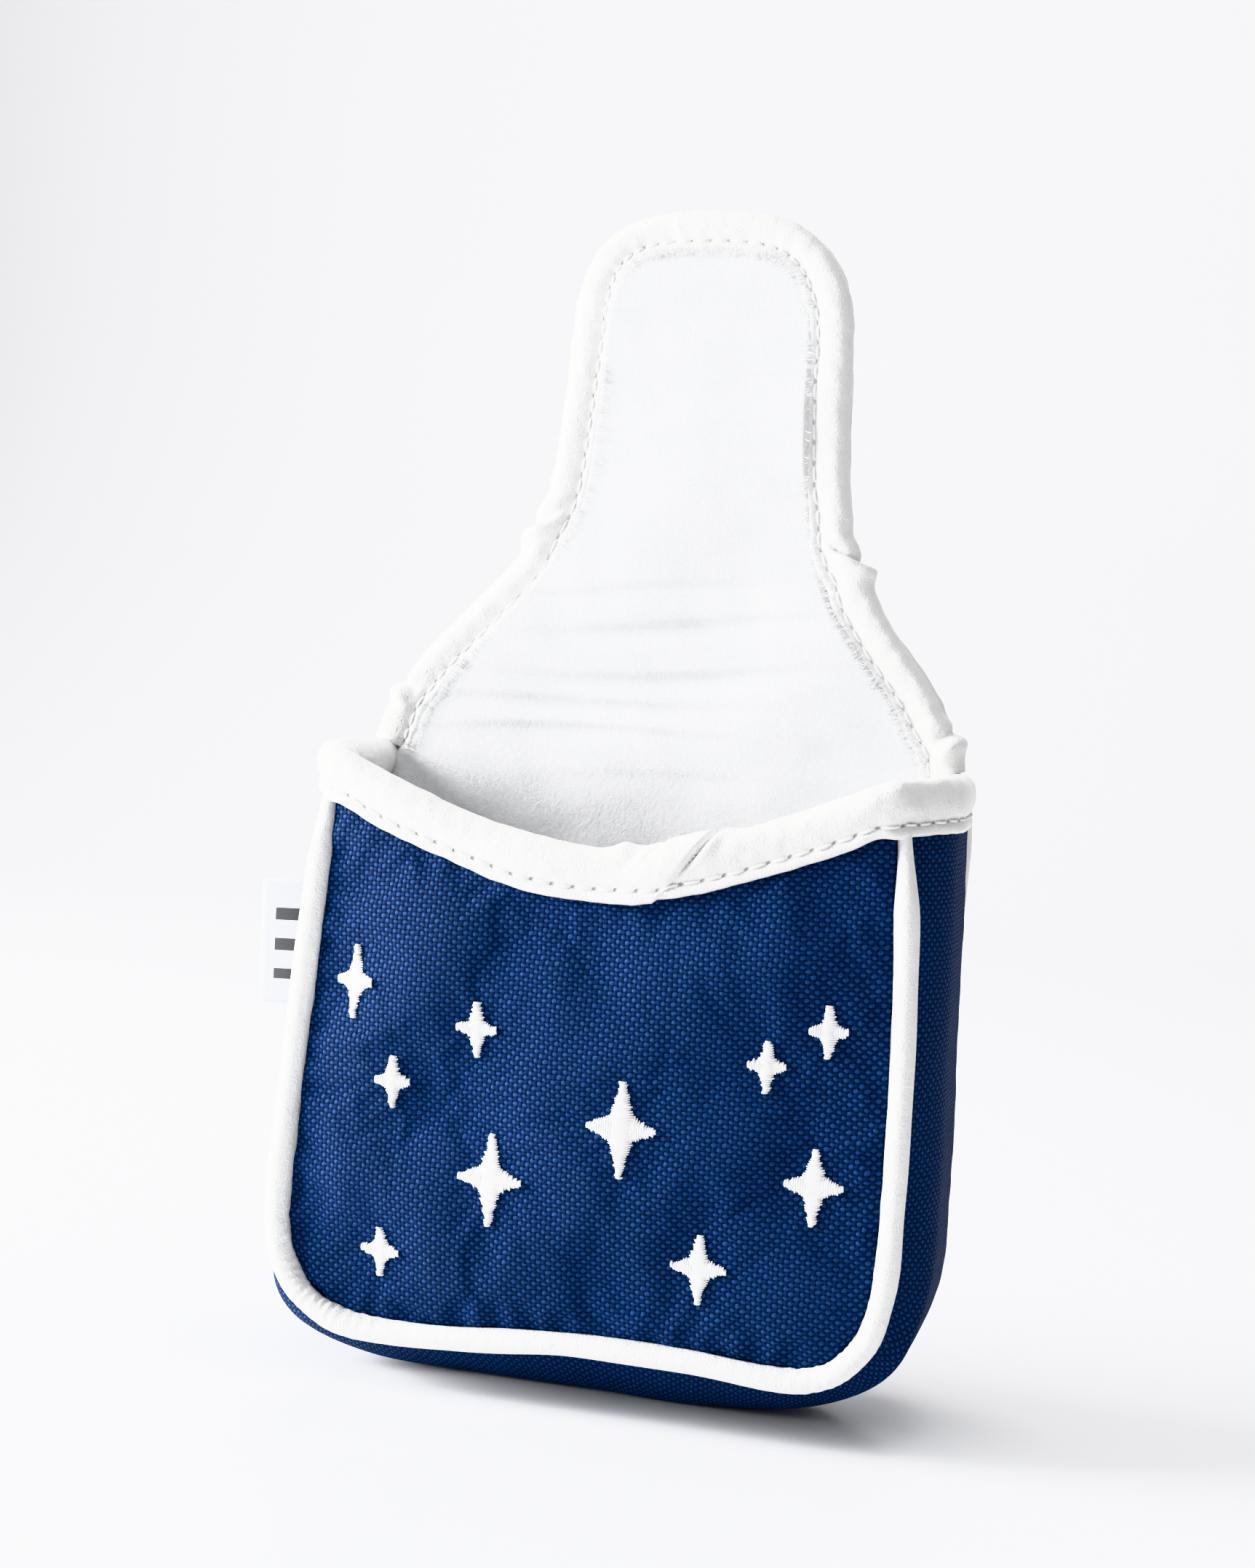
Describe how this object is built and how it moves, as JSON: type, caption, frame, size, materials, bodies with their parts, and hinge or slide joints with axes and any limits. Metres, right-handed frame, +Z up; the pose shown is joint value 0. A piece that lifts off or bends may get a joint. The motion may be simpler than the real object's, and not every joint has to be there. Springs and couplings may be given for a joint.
{
  "type": "putter head cover",
  "caption": "Padded canvas cover for a mallet putter head, with leather-bound mouth, piped seams, star embroidery and a fleece-lined flap that folds over to close it.",
  "frame": {"origin": "middle of the flat patch of the base, where the cover stands", "axes": "+Z up to the tip of the open flap, -Y out of the embroidered front, +X to the right seen from the back"},
  "size_m": [0.1481, 0.0566, 0.2314],
  "materials": {
    "canvas_blue": "plain woven canvas, matt with light thread highlights",
    "fleece_white": "short brushed pile",
    "foam": "open-cell padding foam",
    "leather_white": "smooth synthetic leather, soft satin",
    "piping_cord": "twisted cotton cord",
    "thread_white": "satin-stitched embroidery thread",
    "label_white": "damask woven label",
    "magnet": "nickel-plated disc"
  },
  "bodies": {
    "pouch": {"front_panel": "canvas_blue", "gusset_panel": "canvas_blue", "back_panel": "canvas_blue", "front_lining": "fleece_white", "gusset_lining": "fleece_white", "back_lining": "fleece_white", "front_foam": "foam", "gusset_foam": "foam", "back_foam": "foam", "front_piping": "leather_white", "rear_piping": "leather_white", "mouth_binding": "leather_white", "front_piping_cord": "piping_cord", "rear_piping_cord": "piping_cord", "star_01": "thread_white", "star_02": "thread_white", "star_03": "thread_white", "star_04": "thread_white", "star_05": "thread_white", "star_06": "thread_white", "star_07": "thread_white", "star_08": "thread_white", "star_09": "thread_white", "star_10": "thread_white", "side_tag": "label_white", "front_magnet": "magnet"},
    "flap_base": {"flap_base_panel": "canvas_blue", "flap_base_foam": "foam", "flap_base_lining": "fleece_white", "flap_base_binding_left": "leather_white", "flap_base_binding_right": "leather_white"},
    "flap_tongue": {"flap_tongue_panel": "canvas_blue", "flap_tongue_foam": "foam", "flap_tongue_lining": "fleece_white", "flap_tongue_binding": "leather_white", "flap_magnet": "magnet"}
  },
  "joints": [
    {"name": "flap_root_fold", "type": "hinge", "parent": "pouch", "child": "flap_base", "pos_m": [0, 0.0148, 0.122], "axis": [1, 0, 0], "range_deg": [-25, 95]},
    {"name": "flap_tip_fold", "type": "hinge", "parent": "flap_base", "child": "flap_tongue", "pos_m": [0, 0.01855, 0.16484], "axis": [1, 0, 0], "range_deg": [-25, 90]}
  ]
}
